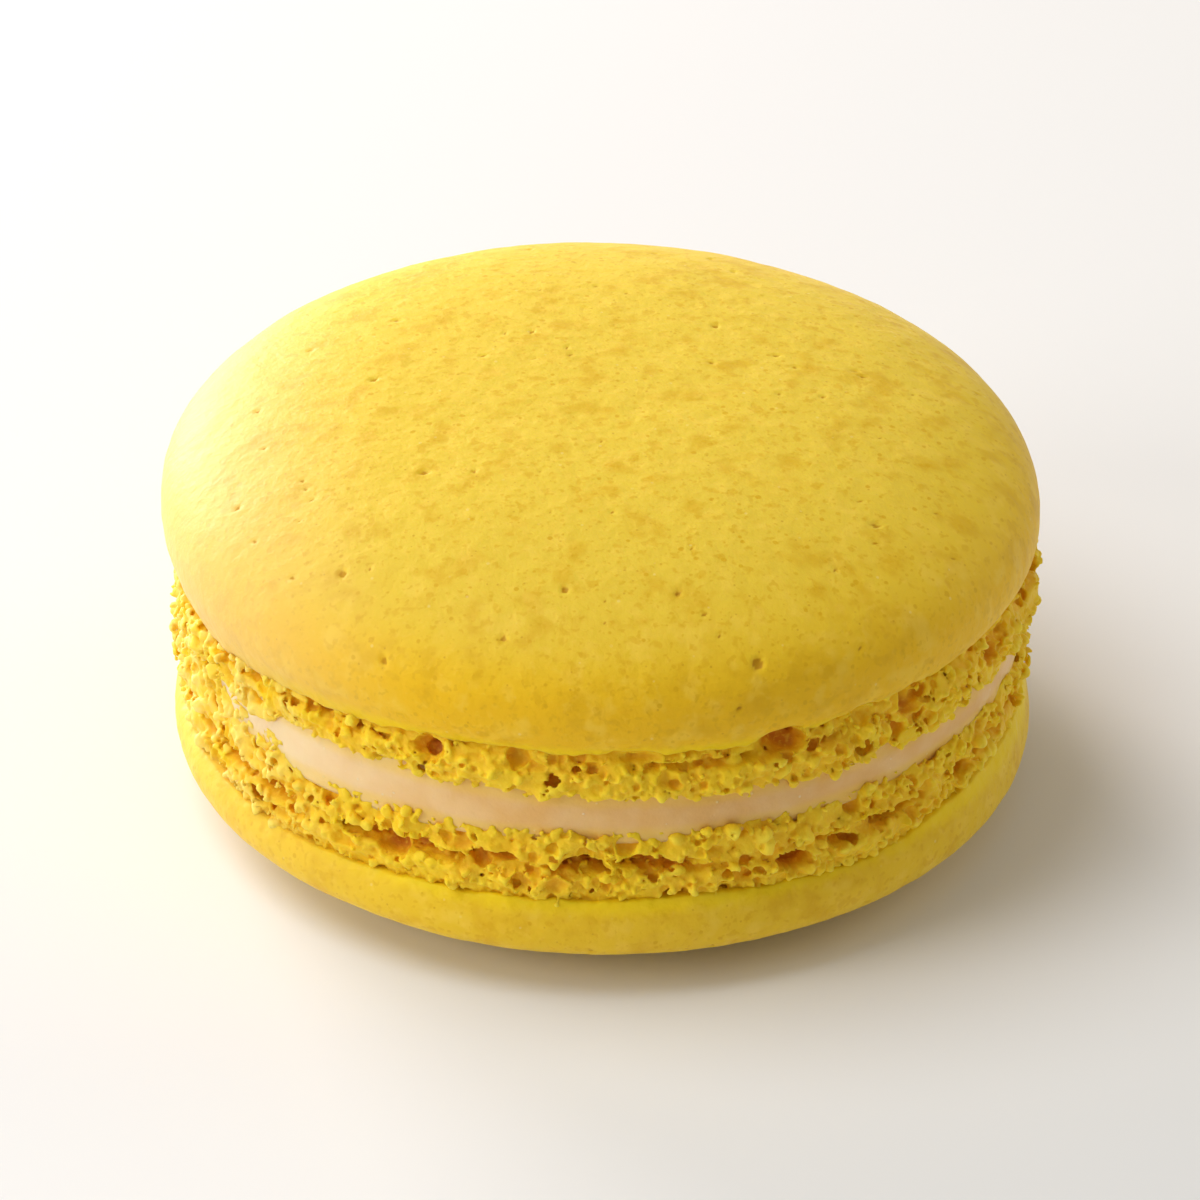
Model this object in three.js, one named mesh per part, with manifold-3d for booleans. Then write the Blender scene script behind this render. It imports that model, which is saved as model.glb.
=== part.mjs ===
// A filled macaron: two baked almond meringue shells, dome outwards, with a layer of cream between them.
// Each shell is one piece: a smooth domed cap and, under its edge, a crumbly ruffled foot.
// Millimetres, +Z up. The origin is the centre of the flat spot that the lower dome rests on.
import * as THREE from "three";
import { mergeVertices } from "three/addons/utils/BufferGeometryUtils.js";
import Module from "manifold-3d";

const wasm = await Module();
wasm.setup();

// Driving dimensions. Heights are above the resting face.
const GAP = 0.1; // kept between the cream and each shell

// Each shell by the heights of its levels, from the crown of its dome inwards, and by its radii.
const LOWER = {
  crown: -0.2, // the dome would reach this low; the resting face cuts it at 0
  widest: 3.9,
  skinEdge: 5.7, // where the smooth skin ends and the foot starts
  inner: 9.6, // the face on the cream
  radius: 22.9, // at the widest circle
  skinEdgeRadius: 22.35,
  footRadius: 22.6, // over the nodules, at front and back
  footSideBulge: 0.1, // the foot swells this much more at the two sides
  offset: 0.12, // the shells aren't quite over one another: this much towards +X
  domePower: 2.6, // 2 is an ellipse, more is boxier
  lean: 0.14, // share by which the dome is fuller towards +X
  innerTilt: 0.4, // degrees, +X side up
  seed: 11,
};
const UPPER = {
  crown: 23,
  widest: 16.2,
  skinEdge: 14.55,
  inner: 11.85,
  radius: 23.05,
  skinEdgeRadius: 22.4,
  footRadius: 22.85,
  footSideBulge: 0.75,
  offset: -0.05,
  domePower: 2.55,
  lean: -0.03,
  innerTilt: -1.0,
  seed: 37,
};

// The foot: the open crumb between the skin edge and the cream.
const FOOT_WAIST = 0.3; // how far it draws in towards the cream
const FOOT_ROOT = 0.7; // how far it reaches up inside the cap, where it doesn't show
const CRUMB_SIZE = 2.3; // width of a nodule
const CRUMB_DEPTH = 1.15;

// The cream between the shells.
const CREAM_RADIUS = 22.1;
const CREAM_SIDE_BULGE = 0.6;
const CREAM_BULGE = 0.2; // of its side, between the two shells

const CAP_SEGMENTS = 84;
const DOME_STEPS = 10;
const FOOT_SEGMENTS = 180;
const FOOT_ROWS = 8;
const CREAM_SEGMENTS = 96;
const CREAM_ROWS = 5;

// Larger bubbles that burst at the surface of the foot: degrees from the front, +X side positive,
// height as a share of the foot from the skin edge, width, height and depth in millimetres.
const UPPER_BUBBLES = [
  [-38, 0.45, 2.6, 1.1, 1.0],
  [-24, 0.3, 2.3, 1.2, 1.4],
  [-8, 0.25, 1.6, 0.8, 1.0],
  [7, 0.25, 2.6, 0.9, 1.3],
  [24, 0.25, 3.0, 1.2, 1.6],
  [45, 0.5, 2.0, 1.3, 1.2],
];
const LOWER_BUBBLES = [
  [-62, 0.35, 2.8, 1.5, 1.3],
  [-29, 0.3, 2.2, 1.4, 1.5],
  [-13, 0.42, 2.8, 1.1, 1.5],
  [-1, 0.45, 1.8, 0.9, 1.6],
  [7, 0.4, 3.2, 1.1, 1.5],
  [27, 0.35, 2.6, 1.4, 1.7],
  [35, 0.5, 1.8, 1.0, 1.2],
  [60, 0.45, 2.0, 1.2, 1.2],
];
const BACK_BUBBLES = 9; // scattered by rule round the rest of each foot

// A repeatable number from 0 to 1 for each point of a whole-number grid.
function gridValue(x, y, z, seed) {
  let h = Math.imul(x, 374761393) ^ Math.imul(y, 668265263) ^ Math.imul(z, 2147483647 ^ seed);
  h = Math.imul(h ^ (h >>> 13) ^ Math.imul(seed, 1274126177), 1103515245);
  h = Math.imul(h ^ (h >>> 16), 2246822519);
  return ((h ^ (h >>> 15)) >>> 0) / 4294967296;
}

// Smooth noise from -1 to 1, with features about one unit wide.
function noise(x, y, z, seed) {
  const cell = [x, y, z].map(Math.floor);
  const [u, v, w] = [x, y, z].map((value, i) => THREE.MathUtils.smootherstep(value - cell[i], 0, 1));
  let sum = 0;
  for (let corner = 0; corner < 8; corner++) {
    const [i, j, k] = [corner & 1, (corner >> 1) & 1, corner >> 2];
    const weight = (i ? u : 1 - u) * (j ? v : 1 - v) * (k ? w : 1 - w);
    sum += weight * gridValue(cell[0] + i, cell[1] + j, cell[2] + k, seed);
  }
  return 2 * sum - 1;
}

// Rounded nodules with narrow clefts between them: 0 on a nodule's top, 1 in a cleft.
function crumb(x, y, z, seed) {
  const coarse = 1 - Math.abs(noise(x / CRUMB_SIZE, y / CRUMB_SIZE, z / CRUMB_SIZE, seed));
  const finer = CRUMB_SIZE / 2.1;
  const fine = 1 - Math.abs(noise(x / finer, y / finer, z / finer, seed + 1));
  return 0.6 * coarse * coarse + 0.4 * fine * fine;
}

// The bubbles named above, and as many more at random angles round the back.
function bubblesOf(named, seed) {
  const list = [...named];
  for (let i = 0; i < BACK_BUBBLES; i++) {
    const angle = 80 + (200 * (i + gridValue(i, 1, 0, seed))) / BACK_BUBBLES;
    const share = 0.25 + 0.4 * gridValue(i, 2, 0, seed);
    const width = 1.6 + 1.6 * gridValue(i, 3, 0, seed);
    list.push([angle, share, width, 0.8 + 0.6 * gridValue(i, 4, 0, seed), 1.4]);
  }
  return list;
}

// How deep the bubbles cut, at an angle from the front and a share of the foot's height.
function bubbleDepth(shell, bubbles, angle, share) {
  const footHeight = Math.abs(shell.inner - shell.skinEdge);
  let depth = 0;
  for (const [centre, level, width, height, deepest] of bubbles) {
    const turn = ((((THREE.MathUtils.radToDeg(angle) - centre) % 360) + 540) % 360) - 180;
    const across = (THREE.MathUtils.degToRad(turn) * shell.footRadius) / (width / 2);
    const up = ((share - level) * footHeight) / (height / 2);
    depth = Math.max(depth, deepest * Math.max(0, 1 - across ** 2 - up ** 2));
  }
  return depth;
}

// The turn about +Z from the front, in radians, where -Y is the front and +X the right.
const angleFromFront = (p) => Math.atan2(p.x, -p.y);

// How much a face that tilts about Y lies higher at x.
const tiltRise = (degrees, x) => x * Math.tan(THREE.MathUtils.degToRad(degrees));

function scaleRound(p, factor) {
  p.x *= factor;
  p.y *= factor;
}

// Half of a cap's outline: a superellipse from the axis to the widest circle, as radius and height.
function domeCurve(radius, height, power, steps) {
  return Array.from({ length: steps + 1 }, (_, i) => {
    const t = (Math.PI / 2) * (1 - i / steps);
    return new THREE.Vector2(radius * Math.cos(t) ** (2 / power), height * Math.sin(t) ** (2 / power));
  });
}

// A closed lathe about Z whose vertices are then moved by a function of their place.
function movedLathe(profile, segments, move) {
  const points = THREE.ShapeUtils.area(profile) < 0 ? [...profile].reverse() : profile;
  const lathe = new THREE.LatheGeometry(points, segments).rotateX(Math.PI / 2);
  lathe.deleteAttribute("normal");
  lathe.deleteAttribute("uv");
  const merged = mergeVertices(lathe, 1e-4);
  const place = merged.getAttribute("position");
  const p = new THREE.Vector3();
  for (let i = 0; i < place.count; i++) {
    move(p.fromBufferAttribute(place, i));
    place.setXYZ(i, p.x, p.y, p.z);
  }
  return merged;
}

function solidOf(geometry) {
  return new wasm.Manifold(
    new wasm.Mesh({
      numProp: 3,
      vertProperties: new Float32Array(geometry.getAttribute("position").array),
      triVerts: new Uint32Array(geometry.index.array),
    }),
  );
}

function geometryOf(solid) {
  const mesh = solid.getMesh();
  return new THREE.BufferGeometry()
    .setAttribute("position", new THREE.BufferAttribute(new Float32Array(mesh.vertProperties), 3))
    .setIndex(new THREE.BufferAttribute(new Uint32Array(mesh.triVerts), 1));
}

// The smooth cap: dome, rounded shoulder, and the skin tucking under to its edge.
function capSolid(shell) {
  const outwards = Math.sign(shell.crown - shell.widest);
  const dome = domeCurve(shell.radius, Math.abs(shell.crown - shell.widest), shell.domePower, DOME_STEPS);
  const profile = dome.map((p) => new THREE.Vector2(p.x, shell.widest + outwards * p.y));
  for (const turn of [30, 60, 85]) {
    const a = THREE.MathUtils.degToRad(turn);
    const radius = THREE.MathUtils.lerp(shell.skinEdgeRadius, shell.radius, Math.cos(a));
    profile.push(new THREE.Vector2(radius, THREE.MathUtils.lerp(shell.widest, shell.skinEdge, Math.sin(a))));
  }
  profile.push(new THREE.Vector2(0, shell.skinEdge + 0.25 * outwards));
  return solidOf(
    movedLathe(profile, CAP_SEGMENTS, (p) => {
      const angle = angleFromFront(p);
      scaleRound(p, 1 + 0.003 * Math.sin(2 * angle + shell.seed) + 0.003 * Math.sin(3 * angle + 2 * shell.seed));
      const beyondWidest = Math.max(0, (p.z - shell.widest) * outwards);
      p.z += (outwards * beyondWidest * shell.lean * p.x) / shell.radius;
      p.z = Math.max(p.z, 0);
      p.x += shell.offset;
    }),
  );
}

// The crumbly foot, from just inside the cap to the face on the cream.
function footSolid(shell, bubbles) {
  const inwards = Math.sign(shell.inner - shell.skinEdge);
  const height = Math.abs(shell.inner - shell.skinEdge);
  const root = shell.skinEdge - inwards * FOOT_ROOT;
  const rootRadius = shell.skinEdgeRadius - 1;
  const profile = [new THREE.Vector2(0, root), new THREE.Vector2(rootRadius, root)];
  for (let i = 0; i <= FOOT_ROWS; i++) {
    profile.push(new THREE.Vector2(shell.footRadius, shell.skinEdge + (inwards * height * i) / FOOT_ROWS));
  }
  profile.push(new THREE.Vector2(0, shell.inner));
  return solidOf(
    movedLathe(profile, FOOT_SEGMENTS, (p) => {
      const share = (p.z - shell.skinEdge) / (shell.inner - shell.skinEdge);
      const radius = Math.hypot(p.x, p.y);
      if (share >= 0 && radius > 1) {
        const angle = angleFromFront(p);
        let wanted = shell.footRadius + shell.footSideBulge * Math.sin(angle) ** 2;
        wanted -= FOOT_WAIST * share ** 2;
        wanted -= CRUMB_DEPTH * crumb(p.x, p.y, p.z, shell.seed);
        wanted -= bubbleDepth(shell, bubbles, angle, share);
        scaleRound(p, wanted / radius);
      }
      p.z += Math.max(0, share) * tiltRise(shell.innerTilt, p.x);
      p.x += shell.offset;
    }),
  );
}

function shellGeometry(shell, bubbles) {
  return geometryOf(capSolid(shell).add(footSolid(shell, bubbles)));
}

// The cream: a disc with a softly bulging, slightly wavy side, between the tilted faces of the shells.
function creamGeometry() {
  const low = LOWER.inner + GAP;
  const high = UPPER.inner - GAP;
  const profile = [new THREE.Vector2(0, low)];
  for (let i = 0; i <= CREAM_ROWS; i++) {
    const share = i / CREAM_ROWS;
    const bulge = CREAM_BULGE * Math.sin(Math.PI * share);
    profile.push(new THREE.Vector2(CREAM_RADIUS + bulge, THREE.MathUtils.lerp(low, high, share)));
  }
  profile.push(new THREE.Vector2(0, high));
  return movedLathe(profile, CREAM_SEGMENTS, (p) => {
    const share = (p.z - low) / (high - low);
    const angle = angleFromFront(p);
    const side = 1 + (CREAM_SIDE_BULGE * Math.sin(angle) ** 2) / CREAM_RADIUS;
    scaleRound(p, side + 0.008 * noise(2.5 * Math.cos(angle), 2.5 * Math.sin(angle), 0.8 * share, 3));
    p.z += tiltRise(THREE.MathUtils.lerp(LOWER.innerTilt, UPPER.innerTilt, share), p.x);
  });
}

const shellMaterial = new THREE.MeshStandardMaterial({ color: 0xe9c846, roughness: 0.6, metalness: 0 });
const creamMaterial = new THREE.MeshStandardMaterial({ color: 0xead0a4, roughness: 0.45, metalness: 0 });

function node(name, geometry, material) {
  const mesh = new THREE.Mesh(geometry, material);
  mesh.name = name;
  return mesh;
}

const macaron = new THREE.Group();
macaron.name = "macaron";
macaron.add(node("lower_shell", shellGeometry(LOWER, bubblesOf(LOWER_BUBBLES, LOWER.seed)), shellMaterial));
macaron.add(node("cream_filling", creamGeometry(), creamMaterial));
macaron.add(node("upper_shell", shellGeometry(UPPER, bubblesOf(UPPER_BUBBLES, UPPER.seed)), shellMaterial));

export default macaron;
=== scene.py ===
"""A lemon lime macaron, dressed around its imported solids.

Two baked shells, each a smooth skinned cap with a foot of open crumb, and a layer of cream between them.
"""

import math
import random

import bmesh
import bpy
import numpy as np
from bpy.props import FloatProperty, FloatVectorProperty, IntProperty, PointerProperty
from mathutils import Matrix, Vector, kdtree, noise


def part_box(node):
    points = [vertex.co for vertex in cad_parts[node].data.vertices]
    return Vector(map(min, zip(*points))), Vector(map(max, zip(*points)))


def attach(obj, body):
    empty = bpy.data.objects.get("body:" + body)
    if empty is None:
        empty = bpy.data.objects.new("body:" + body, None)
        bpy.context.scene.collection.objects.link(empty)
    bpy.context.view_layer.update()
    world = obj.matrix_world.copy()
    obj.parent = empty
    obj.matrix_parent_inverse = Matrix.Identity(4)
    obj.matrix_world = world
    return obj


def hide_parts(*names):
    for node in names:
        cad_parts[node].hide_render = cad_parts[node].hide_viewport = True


bl_info = {
    "name": "Filled macaron",
    "version": (1, 0, 0),
    "blender": (4, 5, 0),
    "location": "3D View > Sidebar > Macaron",
    "description": "Two baked shells with smooth skins and crumbly feet, and cream between them",
    "category": "Add Mesh",
}

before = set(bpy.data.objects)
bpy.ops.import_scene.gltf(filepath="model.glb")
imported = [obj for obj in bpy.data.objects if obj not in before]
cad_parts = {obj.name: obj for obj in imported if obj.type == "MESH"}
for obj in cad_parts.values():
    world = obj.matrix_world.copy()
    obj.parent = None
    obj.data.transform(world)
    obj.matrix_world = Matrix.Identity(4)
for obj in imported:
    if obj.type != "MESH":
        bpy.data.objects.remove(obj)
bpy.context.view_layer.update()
LOWER_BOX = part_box("lower_shell")
UPPER_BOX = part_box("upper_shell")

MM = 0.001

# How far the flat spot that the macaron rests on cuts into the lower dome, in millimetres.
FLAT_SPOT_CUT = 0.2

# The faces on the cream tilt about Y, in degrees, and reach this far out, in millimetres.
LOWER_INNER_TILT = 0.4
UPPER_INNER_TILT = -1.0
INNER_FACE_RADIUS = 22.7


def tilt_rise(degrees, x):
    """How much higher a face that tilts about Y lies at x."""
    return x * math.tan(math.radians(degrees))


# Heights, in millimetres, of the domes' crowns and of the middles of the faces on the cream.
LOWER_CROWN = LOWER_BOX[0].z / MM - FLAT_SPOT_CUT
UPPER_CROWN = UPPER_BOX[1].z / MM
LOWER_INNER = LOWER_BOX[1].z / MM - tilt_rise(LOWER_INNER_TILT, INNER_FACE_RADIUS)
UPPER_INNER = UPPER_BOX[0].z / MM - tilt_rise(UPPER_INNER_TILT, INNER_FACE_RADIUS)


def number(name, description, value):
    return FloatProperty(name=name, description=description, default=value)


def whole_number(name, description, value):
    return IntProperty(name=name, description=description, default=value)


def length(name, description, millimetres):
    return FloatProperty(
        name=name, description=description, default=millimetres * MM, unit="LENGTH", precision=5
    )


def colour(name, description, red, green, blue):
    return FloatVectorProperty(
        name=name, description=description, subtype="COLOR", size=3, min=0, max=1, default=(red, green, blue)
    )


# What each shell has: its kind, name and description, then its value on the lower shell and on the upper one.
SHELL_SIZES = {
    "crown": (length, "Crown", "Height of the dome's crown", LOWER_CROWN, UPPER_CROWN),
    "inner": (length, "Inner face", "Height of the face on the cream", LOWER_INNER, UPPER_INNER),
    "dome_height": (length, "Dome height", "From the crown to the widest circle", 4.1, 6.8),
    "shoulder_height": (length, "Shoulder height", "From the widest circle to the skin's edge", 1.8, 1.65),
    "radius": (length, "Cap radius", "At the widest circle", 22.9, 23.05),
    "skin_edge_radius": (length, "Skin edge radius", "Where the skin ends", 22.35, 22.4),
    "skin_rag": (length, "Ragged edge", "How far the skin's edge strays up and down", 0.2, 0.2),
    "foot_radius": (length, "Foot radius", "Over the crumb, at the front", 22.95, 23.05),
    "side_bulge": (length, "Side bulge", "How much further the foot swells at the right", 0.1, 0.4),
    "foot_waist": (length, "Foot waist", "How far the foot draws in towards the cream", 0.3, 0.3),
    "foot_wall": (length, "Foot wall", "Thickness of the ring of open crumb", 2.4, 2.4),
    "foot_root": (length, "Foot root", "How far the crumb reaches up inside the cap", 0.9, 0.9),
    "foot_reach": (length, "Foot reach", "How far the crumb laps over the cream", 0.5, 0.2),
    "left_lap": (length, "Left lap", "How much further it laps over it at the far left", 1.7, 1.7),
    "groove_depth": (length, "Groove depth", "How far the crumb draws in along its groove", 1.2, 0.7),
    "groove_level": (number, "Groove level", "Its height, as a share of the foot's", 0.5, 0.26),
    "offset": (length, "Offset", "How far the shell sits towards +X", 0.12, -0.05),
    "widest_wobble": (number, "Wobble", "The cap's departure from a circle, as a share", 0.003, 0.003),
    "dome_power": (number, "Dome power", "2 is an ellipse, more is boxier", 2.6, 2.55),
    "lean": (number, "Lean", "Share by which the dome is fuller towards +X", 0.14, -0.03),
    "inner_tilt": (number, "Tilt", "Of the inner face, in degrees", LOWER_INNER_TILT, UPPER_INNER_TILT),
    "edge_tilt": (number, "Edge tilt", "Of the skin's edge, in degrees", 1.1, 1.1),
    "seed": (whole_number, "Seed", "Changes the crumb and the pores", 11, 37),
}


def shell_properties(which):
    """The properties of the lower shell, which is 0, or of the upper one, 1."""
    return {
        key: kind(name, description, values[which])
        for key, (kind, name, description, *values) in SHELL_SIZES.items()
    }


class LowerShellSizes(bpy.types.PropertyGroup):
    __annotations__ = shell_properties(0)


class UpperShellSizes(bpy.types.PropertyGroup):
    __annotations__ = shell_properties(1)


class CreamSizes(bpy.types.PropertyGroup):
    radius: length("Radius", "At the front", 22.1)
    side_bulge: length("Side bulge", "How much further it swells at the sides", 0.25)
    bulge: length("Bulge", "How far its side bulges between the shells", 0.15)
    overlap: length("Overlap", "How far it reaches into the crumb, above and below", 0.5)
    left_recess: length("Left recess", "How far it stays back at the left, behind the crumb", 1.1)


class FinishColours(bpy.types.PropertyGroup):
    lemon: colour("Lemon skin", "The main colour of the skin", 0.86, 0.575, 0.018)
    # Painted light: the paler crown stands in for the light that falls on the upper cap's top.
    crown: colour("Crown", "The paler lemon of the upper cap's top", 0.86, 0.615, 0.045)
    # Painted shade: the deeper yellow stands in for the shade on the upper cap's side wall.
    wall: colour("Wall", "The deeper yellow low down on the upper cap", 0.88, 0.53, 0.002)
    pale: colour("Pale skin", "The paler patches of the skin", 0.95, 0.66, 0.07)
    # Painted highlight: the whitish skin at the left stands in for the bright light from that side.
    painted_highlight: colour("Milky skin", "The pale skin at the left", 0.93, 0.64, 0.25)
    gold: colour("Golden skin", "The deeper, mustard flecks of the skin", 0.74, 0.43, 0.001)
    sugar: colour("Sugar", "The tiny pale specks of the skin", 0.97, 0.85, 0.40)
    edge: colour("Skin edge", "The clear yellow where the skin meets the foot", 0.95, 0.69, 0.002)
    pore: colour("Pore", "The bottom of a pore", 0.60, 0.29, 0.001)
    freckle: colour("Freckle", "The few orange freckles at the left", 0.85, 0.36, 0.08)
    # Painted light: the pale tips where the light catches the crumb; the same colour also gives its random
    # pale specks.
    crumb_pale_and_tip_highlight: colour("Crumb tip", "The outermost tips of the crumb", 0.96, 0.725, 0.045)
    # Painted highlight: the whitish crumb tips at the left stand in for the bright light from that side.
    crumb_painted_highlight: colour("Milky crumb", "The pale crumb at the left", 0.97, 0.76, 0.24)
    crumb: colour("Crumb", "The crumb between its tips and its hollows", 0.93, 0.62, 0.012)
    crumb_bright: colour("Bright crumb", "Patches of clear yellow in the crumb", 0.94, 0.66, 0.006)
    # Painted shade, deepening down the crumb's hollows and slits, in these three colours.
    crumb_painted_shade: colour("Deep crumb", "The walls of the hollows", 0.88, 0.52, 0.003)
    crumb_deeper_painted_shade: colour("Crumb bottom", "The bottom of the deepest hollows", 0.80, 0.36, 0.001)
    crumb_darkest_painted_shade: colour("Darkest crumb", "Deep inside the slits of the crumb", 0.60, 0.19, 0.001)
    cream: colour("Cream", "The main colour of the cream", 0.84, 0.50, 0.17)
    cream_pale: colour("Pale cream", "The paler parts of the cream", 0.88, 0.57, 0.24)
    # Painted highlight: the paler cream at the left, and the specks, which are painted glints.
    cream_painted_highlight: colour("Sparkle", "The tiny pale specks of the cream", 0.97, 0.82, 0.55)


class Value:
    """One socket of a node tree, on which maths is written as a Python expression."""

    def __init__(self, graph, socket):
        self.graph = graph
        self.socket = socket

    def __add__(self, other):
        return self.graph.maths("ADD", self, other)

    def __sub__(self, other):
        return self.graph.maths("SUBTRACT", self, other)

    def __rsub__(self, other):
        return self.graph.maths("SUBTRACT", other, self)

    def __mul__(self, other):
        return self.graph.maths("MULTIPLY", self, other)

    def __truediv__(self, other):
        return self.graph.maths("DIVIDE", self, other)

    def __pow__(self, other):
        return self.graph.maths("POWER", self, other)

    __radd__ = __add__
    __rmul__ = __mul__


class Graph:
    """Adds nodes to a material's tree or to a geometry tree."""

    def __init__(self, tree):
        self.tree = tree

    def node(self, kind, settings=None, inputs=None, output=0):
        """A new node: its settings first, then its sockets' values or links. Gives one of its outputs."""
        node = self.tree.nodes.new(kind)
        for name, value in (settings or {}).items():
            if name == "stops":
                self.set_stops(node.color_ramp.elements, value)
            else:
                setattr(node, name, value)
        for name, value in (inputs or {}).items():
            if isinstance(value, Value):
                self.tree.links.new(value.socket, node.inputs[name])
            else:
                node.inputs[name].default_value = value
        return Value(self, node.outputs[output]) if node.outputs else None

    def set_stops(self, elements, stops):
        while len(elements) < len(stops):
            elements.new(1.0)
        for element, (position, stop_colour) in zip(elements, stops):
            element.position = position
            element.color = (*stop_colour, 1.0)

    def maths(self, operation, *values):
        return self.node("ShaderNodeMath", {"operation": operation}, dict(enumerate(values)))

    def vector_maths(self, operation, *values, output=0):
        return self.node("ShaderNodeVectorMath", {"operation": operation}, dict(enumerate(values)), output)

    def dot(self, vector, constant):
        return self.vector_maths("DOT_PRODUCT", vector, constant, output="Value")

    def scaled(self, vector, factor):
        return self.node("ShaderNodeVectorMath", {"operation": "SCALE"}, {0: vector, "Scale": factor})

    def axes(self, vector):
        first = self.node("ShaderNodeSeparateXYZ", inputs={0: vector})
        return [Value(self, socket) for socket in first.socket.node.outputs]

    def mix(self, factor, first, second):
        colours = [c if isinstance(c, Value) else (*c, 1.0) for c in (first, second)]
        return self.node(
            "ShaderNodeMix", {"data_type": "RGBA"}, {0: factor, 6: colours[0], 7: colours[1]}, output=2
        )

    def ease(self, value, start, end):
        """0 up to start, 1 from end on, and a smooth rise between them."""
        settings = {"interpolation_type": "SMOOTHSTEP", "clamp": True}
        return self.node("ShaderNodeMapRange", settings, {0: value, 1: start, 2: end})

    def noise(self, vector, size, detail=2.0, output=0):
        """Soft noise from 0 to 1 whose features are about as large as size."""
        inputs = {"Vector": vector, "Scale": 1 / size, "Detail": detail, "Roughness": 0.5}
        return self.node("ShaderNodeTexNoise", {"noise_dimensions": "3D"}, inputs, output)

    def cells(self, vector, size):
        """The nearest of many scattered points: its distance as a share of size, a random tone, its place."""
        inputs = {"Vector": vector, "Scale": 1 / size, "Randomness": 1.0}
        distance = self.node("ShaderNodeTexVoronoi", {"voronoi_dimensions": "3D"}, inputs, "Distance")
        outputs = distance.socket.node.outputs
        return distance, self.axes(Value(self, outputs["Color"]))[0], Value(self, outputs["Position"])

    def specks(self, place, spacing, radii, tones):
        """Scattered specks, 1 inside and 0 outside. Cells with a tone below the lower one have none."""
        distance, tone, _ = self.cells(place, spacing)
        return self.ease(distance, *radii) * self.ease(tone, *tones)


def macaron_sizes(context):
    return context.scene.macaron_lower, context.scene.macaron_upper


def new_object(name, data):
    item = bpy.data.objects.new(name, data)
    bpy.context.scene.collection.objects.link(item)
    return item


def mesh_from(bm, name):
    """The finished bmesh as a mesh."""
    mesh = bpy.data.meshes.new(name)
    bm.to_mesh(mesh)
    bm.free()
    return mesh


def new_piece(name, mesh, nodes):
    """A finished piece of the object at the origin, in place of its CAD nodes."""
    piece = new_object(name, mesh)
    for polygon in mesh.polygons:
        polygon.use_smooth = True
    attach(piece, "root")
    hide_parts(*nodes)
    return piece


# The caps

CAP_GRID = 270
DOME_STEPS = 600
SHOULDER_ROWS = 18
SHOULDER_POWER = 1.9
UNDERSIDE_ROWS = 4
UNDERSIDE_INNER = 19 * MM
UNDERSIDE_RISE = 0.25 * MM

# Where the skin's edge waves up or down: its place as the sine of the angle from the front, its width in the
# same measure, and its rise in millimetres.
LOWER_EDGE_WAVES = [(0.6, 0.2, -0.6), (-0.74, 0.15, -0.25)]
UPPER_EDGE_WAVES = [(-0.88, 0.1, -0.4), (-0.29, 0.15, 0.2), (0.28, 0.12, -0.2)]

# Relief of the skin: the size of its features and their height. The edge strays by shares of skin_rag.
SKIN_RELIEF = [(8 * MM, 0.07 * MM), (2.6 * MM, 0.035 * MM), (1.0 * MM, 0.022 * MM), (0.45 * MM, 0.008 * MM)]
EDGE_STRAY = [(1.3 * MM, 1.0), (0.5 * MM, 0.6)]

# The pores that stand out on the upper cap: place from above, radius and depth, in millimetres.
UPPER_PORES = [
    (7.9, -20.6, 0.3, 0.2),
    (-1.7, -17.7, 0.2, 0.2),
    (-4.7, -20.3, 0.17, 0.18),
    (-10.7, -19.9, 0.18, 0.18),
    (-12.9, -15.2, 0.2, 0.18),
    (13.9, -10.9, 0.2, 0.2),
    (7.0, -21.9, 0.13, 0.15),
    (-11.9, 0.8, 0.17, 0.15),
    (-11.0, 7.5, 0.16, 0.15),
    (-9.0, -8.4, 0.18, 0.18),
    (3.9, -17.7, 0.16, 0.18),
    (6.0, 7.0, 0.2, 0.15),
]

# Small pores scattered over each cap: their number, their radii in millimetres, and the share of its area.
SCATTERED_PORES = 70
SCATTERED_RADII = (0.08, 0.14)
SCATTERED_AREA = 0.98

# How far round its middle a pore presses the skin, in radii, and how steep its wall is.
PORE_SPREAD = 1.7
PORE_STEEPNESS = 9


def disc_place(u, v):
    """Maps a square from -1 to 1 to the unit disc, with squares that stay nearly even."""
    if u == 0 and v == 0:
        return 0.0, 0.0
    if abs(u) > abs(v):
        reach, angle = u, (math.pi / 4) * (v / u)
    else:
        reach, angle = v, math.pi / 2 - (math.pi / 4) * (u / v)
    return reach * math.cos(angle), reach * math.sin(angle)


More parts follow.
